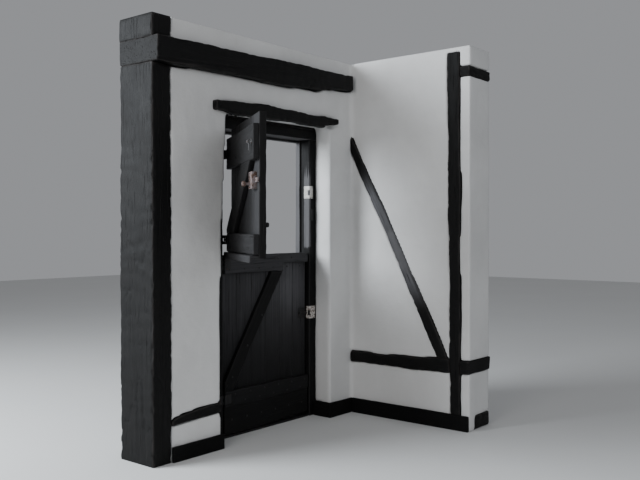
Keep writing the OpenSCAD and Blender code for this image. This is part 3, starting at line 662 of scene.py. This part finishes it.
# Leaves of the stable door: six upright boards each, planed, tarred, and nailed to two ledges and a
# brace on the room's side. The upper leaf's batten covers the split, and the lower has a kick board.
# Places in a leaf are measured along it from the hinge, through it towards the yard, and up.
class Tree(Recipe):
    """A tree of Geometry Nodes with named inputs, which ends in one solid and its finish."""

    def __init__(self, name, **sizes):
        super().__init__(bpy.data.node_groups.new(name, "GeometryNodeTree"))
        kinds = {int: "NodeSocketInt", float: "NodeSocketFloat"}
        self.tree.interface.new_socket("Base", in_out="INPUT", socket_type="NodeSocketGeometry")
        for label, size in sizes.items():
            made = self.tree.interface.new_socket(label, in_out="INPUT", socket_type=kinds[type(size)])
            made.default_value = size
        self.tree.interface.new_socket("Finish", in_out="INPUT", socket_type="NodeSocketMaterial")
        self.tree.interface.new_socket("Solid", in_out="OUTPUT", socket_type="NodeSocketGeometry")
        self.inputs = self.tree.nodes.new("NodeGroupInput")

    def given(self, label):
        """The value that a named input of the tree is given."""
        return Socket(self, self.inputs.outputs[label])

    def xyz(self, x=0.0, y=0.0, z=0.0):
        """A vector from three values."""
        return self.node("ShaderNodeCombineXYZ", sockets={0: x, 1: y, 2: z})

    def end(self, instances):
        """Ends the tree: what repeats is made real and given its finish."""
        solid = self.node("GeometryNodeRealizeInstances", sockets={"Geometry": instances})
        coated = self.node(
            "GeometryNodeSetMaterial", sockets={"Geometry": solid, "Material": self.given("Finish")}
        )
        self.node("NodeGroupOutput", sockets={"Solid": coated})

    def grow(self, name, base, finish, **sizes):
        """A plain piece grown by the tree on a base mesh."""
        piece = shown(base, name)
        modifier = piece.modifiers.new("tree", "NODES")
        modifier.node_group = self.tree
        values = {**sizes, "Finish": finish}
        for item in self.tree.interface.items_tree:
            if item.in_out == "INPUT" and item.name in values:
                modifier[item.identifier] = values[item.name]
        return settled(piece)


planks = Tree(
    "planks", Boards=6, Pitch=0.12, Tongue=0.002, Thickness=0.027, Height=0.6, Arris=0.003,
    Arris_Steps=2, Outline_Points=72, Station=0.008,
)
plank_line = planks.node(
    "GeometryNodeCurvePrimitiveLine", sockets={"End": planks.xyz(z=planks.given("Height"))}
)
plank_spine = planks.node(
    "GeometryNodeResampleCurve", {"mode": "LENGTH"},
    {"Curve": plank_line, "Length": planks.given("Station")},
)
plank_outline = planks.node(
    "GeometryNodeCurvePrimitiveQuadrilateral",
    sockets={"Width": planks.given("Pitch") + planks.given("Tongue"), "Height": planks.given("Thickness")},
)
plank_round = planks.node(
    "GeometryNodeFilletCurve", {"mode": "POLY"},
    {"Curve": plank_outline, "Count": planks.given("Arris_Steps"), "Radius": planks.given("Arris")},
)
plank_edge = planks.node(
    "GeometryNodeResampleCurve", {"mode": "COUNT"},
    {"Curve": plank_round, "Count": planks.given("Outline_Points")},
)
plank = planks.node(
    "GeometryNodeCurveToMesh",
    sockets={"Curve": plank_spine, "Profile Curve": plank_edge, "Fill Caps": True},
)
plank_row = planks.node(
    "GeometryNodeMeshLine",
    sockets={
        "Count": planks.given("Boards"),
        "Start Location": planks.xyz(x=planks.given("Pitch") * 0.5),
        "Offset": planks.xyz(x=planks.given("Pitch")),
    },
)
planks.end(planks.node("GeometryNodeInstanceOnPoints", sockets={"Points": plank_row, "Instance": plank}))

hinges = {joint["child"]: joint for joint in frame["joints"]}


def leaf_foot(leaf):
    """The point on the floor below a leaf's hinges."""
    return np.array([*hinges[leaf]["pos_m"][:2], 0.0])


def leaf_ways(leaf):
    """The ways along, through and up a leaf, as far open as it stands."""
    swing = math.radians(-hinges[leaf]["range_deg"][0])
    along = [math.cos(swing), -math.sin(swing), 0]
    through = [math.sin(swing), math.cos(swing), 0]
    return np.array([along, through, [0, 0, 1]])


def in_leaf(leaf, points):
    """Points of the house, as places in a leaf."""
    return (points - leaf_foot(leaf)) @ leaf_ways(leaf).T


def hung(leaf, places):
    """Places in a leaf, as points of the house."""
    return np.asarray(places) @ leaf_ways(leaf) + leaf_foot(leaf)


def leaf_corners(leaf, node):
    """Lowest and highest corner of a node, as places in its leaf."""
    places = in_leaf(leaf, points_of(frame["nodes"][node].data))
    return places.min(axis=0), places.max(axis=0)


boards_tar = tarred_wood(
    "tarred_boards", roughness=0.45, groove=0.0014,
    tint=(0.0036, 0.0034, 0.0034), wear_tint=(0.013, 0.012, 0.012),
)
boards_n = 6
board_cell = 0.006
boards_seed, edge_seed = 301, 321
upward = np.array([0, 0, 1.0])
board_start, board_side, leaf_start = 3.7, 0.9, 9   # so that no two boards' grain is the same
edge_planed, edge_width, edge_swell = 0.006, 0.03, 0.13   # the upper leaf's free edge
patch_along, patch_up = 0.57, 0.83                  # middle of the lower leaf's dusty patch
patch_width, patch_height = 0.17, 0.16
for number, leaf in enumerate(("upper_leaf", "lower_leaf")):
    stem = leaf.split("_")[0]
    low, high = leaf_corners(leaf, stem + "_boards")
    pitch = (high[0] - low[0]) / boards_n
    boards = planks.grow(
        stem + "_leaf_boards", bpy.data.meshes.new("base"), boards_tar, Boards=boards_n,
        Pitch=float(pitch), Thickness=float(high[1] - low[1]), Height=float(high[2] - low[2]),
    )
    places = points_of(boards.data)
    board = np.floor(places[:, 0] / pitch).astype(int)
    upwards = places[:, 2] + board_start * board + leaf_start * number
    grain = np.column_stack([upwards, places[:, 0] + board_side * board, places[:, 1]])
    places += (low[0], (low[1] + high[1]) / 2, low[2])
    move_points(boards.data, hung(leaf, places))
    worked(boards, grain, upward, board_cell, boards_seed + seeds_each * number, **PLANED)
    places = in_leaf(leaf, points_of(boards.data))
    through = leaf_ways(leaf)[1]
    to_yard = normals_of(boards.data) @ through
    if leaf == "upper_leaf":
        free_edge = step_up(places[:, 0], high[0] - edge_width, high[0])
        uneven = 0.5 + 0.5 * drift(places * upward, edge_swell, edge_seed)
        places[:, 0] -= edge_planed * free_edge * uneven
        move_points(boards.data, hung(leaf, places))
        dust_and_painted_light = 0.07 + 0.20 * step_up(places[:, 0], 0.50, 0.66)
    else:
        patch = ((places[:, 0] - patch_along) / patch_width) ** 2
        patch += ((places[:, 2] - patch_up) / patch_height) ** 2
        dust_and_painted_light = 0.06 + 0.36 * step_up(places[:, 2], 0.25, 0.85) + 0.5 * np.exp(-patch)
    # Faces along a leaf, such as its free edge, get no grey and stay near black as painted shade. The room
    # face keeps its dust, and the yard face gets an even grey.
    dust_and_painted_light = dust_and_painted_light * step_up(-to_yard, 0.3, 0.7) + 0.25 * step_up(to_yard, 0.3, 0.7)
    store(boards.data, "dust_and_painted_light", dust_and_painted_light)
    boards.data.shade_smooth()
    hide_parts(stem + "_boards")
    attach(boards, leaf)

# Ledges, braces, batten and kick board, and how dusty each one is.
ledge_cell = 0.0038
ledge_seed = 331
door_timbers = {
    "upper_top_ledge": 0.08, "upper_bottom_ledge": 0.13, "upper_brace": 0.03, "upper_batten": 0.24,
    "lower_top_ledge": 0.42, "lower_bottom_ledge": 0.05, "lower_brace": 0.0, "kick_board": 0.0,
}
for number, (node, dusty) in enumerate(door_timbers.items()):
    seed = ledge_seed + seeds_each * number
    ledge = worked_timber(node, ledge_cell, seed, PLANED, boards_tar, joinery_kept, rounds=1)
    store(ledge.data, "dust_and_painted_light", np.full(len(ledge.data.vertices), dusty))


# Hinges, bolt, hook and pull: wrought iron, with knuckles that turn on a pin. All but the hook,
# which is rubbed bright, are black. Long ago the latch was painted pink, and the keeps of the
# latch and of the bolt cream. The latch's pink is darkened as painted shade, for the shadow it is in.
def painted_iron(name, colour, chips, roughness, metal=0.0):
    """Iron under old paint: even where the paint holds, rusty and dark where it has gone."""
    dark_rust, pale_rust = (0.020, 0.014, 0.011), (0.085, 0.034, 0.014)
    thin_paint = [0.82 * c for c in colour]
    iron = Finish(name)
    place = iron.place()
    dents = iron.cloud(place, 90.0, 3.0)
    flakes = iron.cloud(place, 210.0, 4.0, 0.65)
    gone = iron.between(0.6 * dents + 0.4 * flakes, chips, chips + 0.05)
    rust = iron.mixed(iron.between(flakes, 0.4, 0.6), dark_rust, pale_rust)
    paint = iron.mixed(iron.between(dents, 0.3, 0.7), thin_paint, colour)
    tone = iron.mixed(gone, paint, rust)
    matt = roughness + 0.3 * gone + 0.1 * dents
    relief = 0.5 * flakes - 0.6 * gone
    return iron.coat(tone, matt, relief, depth=0.0006, fixed={"Metallic": metal})


def ironwork(node, bevel, finish):
    """A forged or cast piece with its arrises taken off."""
    solid = joined_solid(node)
    flat = 0.02
    bmesh.ops.dissolve_limit(solid, angle_limit=flat, verts=solid.verts, edges=solid.edges)
    piece = shown_solid(solid, node + "_iron")
    arris = piece.modifiers.new("arris", "BEVEL")
    arris.width = bevel
    arris.segments = 2
    arris.angle_limit = math.radians(40)
    settled(piece)
    piece.data.shade_smooth()
    piece.data.set_sharp_from_angle(angle=math.radians(50))
    piece.data.materials.append(finish)
    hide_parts(node)
    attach(piece, frame["nodes"][node]["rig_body"])


black_iron = painted_iron("black_iron", (0.0032, 0.003, 0.003), chips=0.60, roughness=0.62)
cream_iron = painted_iron("cream_painted_iron", (0.54, 0.52, 0.485), chips=0.55, roughness=0.4)
# The latch's pink is darker than its paint: painted shade.
shaded_pink_iron = painted_iron("worn_pink_paint", (0.155, 0.13, 0.133), chips=0.485, roughness=0.45)
stained_iron = painted_iron("stained_cream_paint", (0.62, 0.58, 0.54), chips=0.50, roughness=0.45)
bright_iron = painted_iron("worn_iron", (0.15, 0.15, 0.155), chips=0.56, roughness=0.30, metal=0.7)
forged_arris, hook_arris, cast_arris = 0.0006, 0.0003, 0.0008
for node in ("hinge_plates", "hook_keep", "upper_pull", "upper_hinges", "lower_hinges", "lower_bolt"):
    ironwork(node, forged_arris, black_iron)
ironwork("upper_hook", hook_arris, bright_iron)
ironwork("latch_keep", cast_arris, cream_iron)
ironwork("bolt_keep", cast_arris, stained_iron)
ironwork("upper_latch", cast_arris, shaded_pink_iron)


# Nails: rose headed, tarred over, and driven through the ledges, braces and kick board into each
# board of a leaf: two a board on every ledge, and one a board on the brace and the kick board.
# Each head is a low faceted dome, turned and sized a little differently from the next.
heads = Tree("rose_heads", Radius=0.006, Rise=0.0022, Sides=9, Rings=6, Spread=0.14, Seed=5)
head_ball = heads.node(
    "GeometryNodeMeshUVSphere",
    sockets={
        "Segments": heads.given("Sides"), "Rings": heads.given("Rings"), "Radius": heads.given("Radius"),
    },
)
head_flatness = heads.given("Rise") / heads.given("Radius")
head_low = heads.node(
    "GeometryNodeTransform", sockets={"Geometry": head_ball, "Scale": heads.xyz(1.0, 1.0, head_flatness)}
)
head_face = heads.node(
    "GeometryNodeInputNamedAttribute", {"data_type": "FLOAT_VECTOR"}, {"Name": "facing"}
)
full_turn = 6.28
head_spin = heads.node(
    "FunctionNodeRandomValue", {"data_type": "FLOAT_VECTOR"},
    {0: (0.0, 0.0, 0.0), 1: (0.0, 0.0, full_turn), "Seed": heads.given("Seed")},
)
head_turn = heads.node(
    "FunctionNodeAlignRotationToVector", {"axis": "Z"}, {"Rotation": head_spin, "Vector": head_face}
)
head_size = heads.node(
    "FunctionNodeRandomValue", {"data_type": "FLOAT"},
    {2: 1.0 - heads.given("Spread"), 3: 1.0 + heads.given("Spread"), "Seed": heads.given("Seed")}, out=1,
)
heads.end(heads.node(
    "GeometryNodeInstanceOnPoints",
    sockets={
        "Points": heads.given("Base"), "Instance": head_low, "Rotation": head_turn, "Scale": head_size,
    },
))


def spots(places, facing):
    """A mesh of loose points, with the way that they face stored on it."""
    mesh = bpy.data.meshes.new("spots")
    mesh.from_pydata([tuple(place) for place in places], [], [])
    store(mesh, "facing", np.tile(np.asarray(facing, float), (len(places), 1)))
    return mesh


nail_black = painted_iron("nail_black", (0.0045, 0.0042, 0.0042), chips=0.60, roughness=0.62)
nail_radius = 0.0062
nail_edge = 0.038    # how far a nail stands in from a board's edge and a ledge's end
nail_share = 0.24    # and how far from a ledge's middle line, as a share of its height
for leaf in ("upper_leaf", "lower_leaf"):
    stem = leaf.split("_")[0]
    low, high = leaf_corners(leaf, stem + "_boards")
    pitch = (high[0] - low[0]) / boards_n
    middles = [low[0] + pitch * (i + 0.5) for i in range(boards_n)]
    places = []
    for ledge in (stem + "_top_ledge", stem + "_bottom_ledge"):
        foot, top = leaf_corners(leaf, ledge)
        for middle in middles:
            for side in (-1, 1):
                x = middle + side * (pitch / 2 - nail_edge)
                z = (foot[2] + top[2]) / 2 + side * (top[2] - foot[2]) * nail_share
                places.append((x, foot[1], z))
    faces = [stem + "_brace"]
    if leaf == "lower_leaf":
        faces.append("kick_board")
    for face in faces:
        foot, top = leaf_corners(leaf, face)
        slant = 0 if face == "kick_board" else (top[2] - foot[2]) / (top[0] - foot[0])
        for x in middles:
            z = (foot[2] + top[2]) / 2 + slant * (x - (foot[0] + top[0]) / 2)
            if foot[0] + nail_edge < x < top[0] - nail_edge:
                places.append((x, foot[1], z))
    to_room = -leaf_ways(leaf)[1]
    nails = heads.grow(
        stem + "_leaf_nails", spots(hung(leaf, places), to_room), nail_black, Radius=nail_radius
    )
    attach(nails, leaf)


# Screws: two small ones hold each keep to the front of the lock post.
# Their heads are smaller and flatter than the nails', and blackened like them.
screw_in = 0.007    # how far a screw stands in from a keep's edges
to_room = (0, -1, 0)
for keep_node in ("latch_keep", "bolt_keep"):
    low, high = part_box(keep_node)
    places = [(high[0] - screw_in, low[1], z) for z in (low[2] + screw_in, high[2] - screw_in)]
    screws = heads.grow(
        keep_node + "_screws", spots(places, to_room), nail_black, Radius=0.0034, Rise=0.0011, Seed=9
    )
    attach(screws, "wall")
